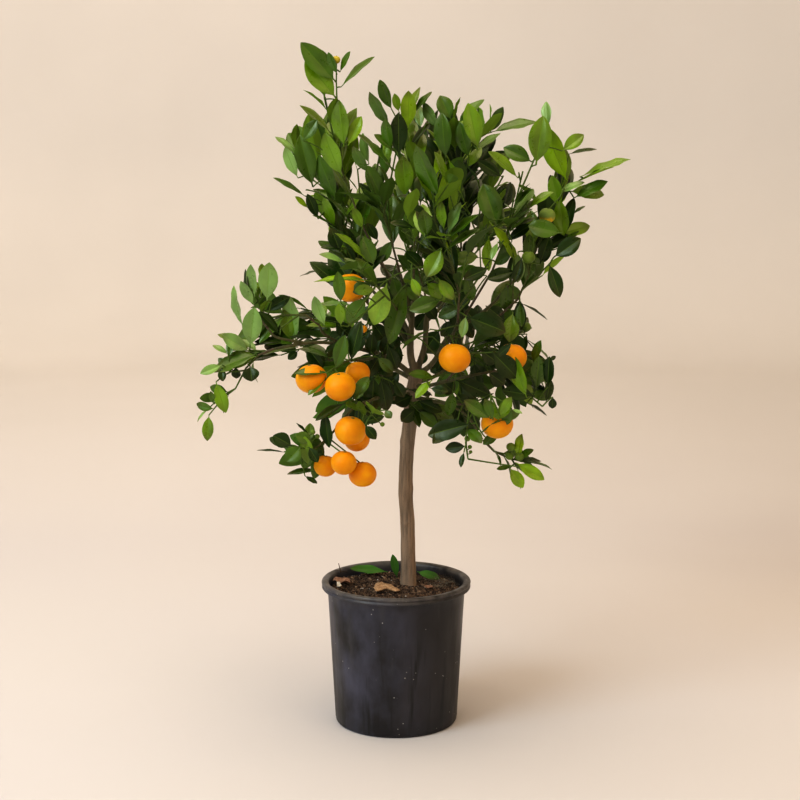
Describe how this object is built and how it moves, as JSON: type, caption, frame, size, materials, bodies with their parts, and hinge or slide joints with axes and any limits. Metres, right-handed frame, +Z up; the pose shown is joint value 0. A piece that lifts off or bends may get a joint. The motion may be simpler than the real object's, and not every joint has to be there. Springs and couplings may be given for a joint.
{
  "type": "calamondin orange tree in a nursery pot",
  "caption": "Small citrus standard in a round black nursery pot: a clear woody trunk, branching boughs, glossy oval leaves and small orange fruit.",
  "frame": {"origin": "centre of the pot's flat underside", "axes": "+Z up along the pot and the tree, +X to the right seen from the front, +Y to the back"},
  "size_m": [0.5135, 0.5417, 0.8443],
  "materials": {
    "pot": "matte black plastic, slightly weathered",
    "soil": "damp bark compost, coarse",
    "bark": "grey-brown bark with fine upright streaks",
    "foliage": "glossy green leaves and orange fruit"
  },
  "bodies": {
    "root": {"pot": "pot", "soil": "soil", "trunk": "bark", "left_limb": "bark", "leader_bough": "bark", "front_top_bough": "bark", "back_top_left_bough": "bark", "left_middle_bough": "bark", "left_top_bough": "bark", "centre_front_bough": "bark", "right_limb": "bark", "top_right_inner_bough": "bark", "back_top_right_bough": "bark", "back_middle_bough": "bark", "outer_limb": "bark", "right_outer_bough": "bark", "right_middle_bough": "bark", "centre_right_bough": "bark", "arm_limb": "bark", "arm_inner_bough": "bark", "arm_outer_bough": "bark", "left_fruit_bough": "bark", "left_back_bough": "bark", "hanging_bough": "bark", "low_sprig_bough": "bark", "right_inner_bough": "bark", "right_sprig_bough": "bark", "right_fruit_bough": "bark", "right_hanging_bough": "bark", "back_low_left_bough": "bark", "back_low_right_bough": "bark", "leader": "foliage", "left_top": "foliage", "front_top": "foliage", "middle_top": "foliage", "right_top": "foliage", "top_right_inner": "foliage", "top_right": "foliage", "right_outer": "foliage", "back_top_left": "foliage", "back_top_right": "foliage", "centre_front": "foliage", "centre_right": "foliage", "left_middle": "foliage", "right_middle": "foliage", "back_middle": "foliage", "left_back": "foliage", "arm_inner": "foliage", "arm_outer": "foliage", "arm_tip": "foliage", "left_fruit": "foliage", "left_hanging": "foliage", "low_sprig": "foliage", "fork_leaves": "foliage", "right_inner": "foliage", "right_sprig": "foliage", "right_fruit": "foliage", "right_hanging": "foliage", "back_low_left": "foliage", "back_low_right": "foliage"}
  },
  "joints": []
}
